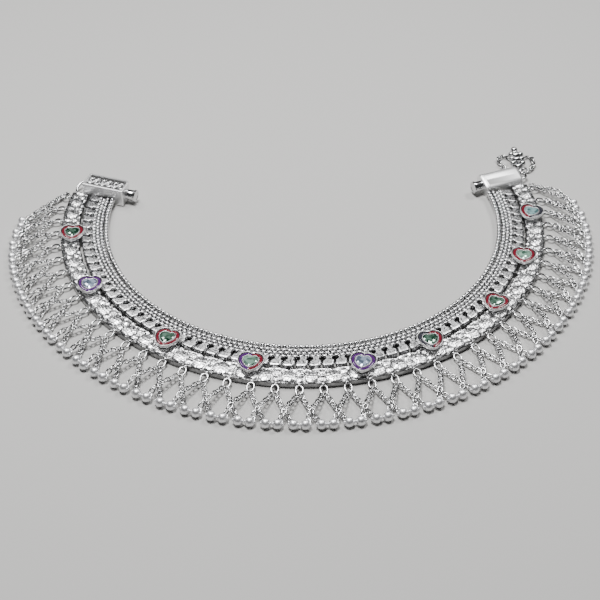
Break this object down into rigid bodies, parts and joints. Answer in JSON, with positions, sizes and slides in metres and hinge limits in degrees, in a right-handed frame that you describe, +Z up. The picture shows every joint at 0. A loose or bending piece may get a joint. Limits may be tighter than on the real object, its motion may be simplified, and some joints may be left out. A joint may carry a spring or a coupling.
{
  "type": "payal anklet",
  "caption": "Open silver payal anklet lying flat: relief and pierced woven band, enamelled heart settings, box clasp ends and an overlapping chain fringe with satin beads.",
  "frame": {"origin": "middle of the underside of the whole part, on the surface it lies on", "axes": "+Z up, +Y toward the open side between the clasps, +X toward the right clasp and the charm"},
  "size_m": [0.184, 0.1332, 0.006],
  "materials": {
    "frosted_silver": "granulated white silver",
    "satin_silver": "satin white silver beads",
    "bright_silver": "bright silver chain",
    "brushed_silver": "fine brushed silver plate",
    "polished_silver": "mirror polished silver",
    "stone_green": "faceted green stone",
    "stone_pale": "faceted pale blue-white stone",
    "stone_pale_green": "faceted pale green stone",
    "stone_teal": "faceted teal-white stone",
    "enamel_red": "glossy red enamel",
    "enamel_purple": "glossy purple enamel",
    "enamel_dark": "dark oxidised groove"
  },
  "bodies": {
    "root": {"outer_strip": "frosted_silver", "woven_band": "frosted_silver", "beaded_edge": "satin_silver", "chain_fringe": "bright_silver", "heart_setting_1": "stone_green", "heart_setting_2": "stone_pale", "heart_setting_3": "stone_green", "heart_setting_4": "stone_pale_green", "heart_setting_5": "stone_pale", "heart_setting_6": "stone_green", "heart_setting_7": "stone_green", "heart_setting_8": "stone_pale_green", "heart_setting_9": "stone_teal", "clasp_box_left": "brushed_silver", "clasp_box_right": "brushed_silver", "clasp_pin_left": "polished_silver", "clasp_pin_right": "polished_silver", "end_charm": "bright_silver"}
  },
  "joints": []
}
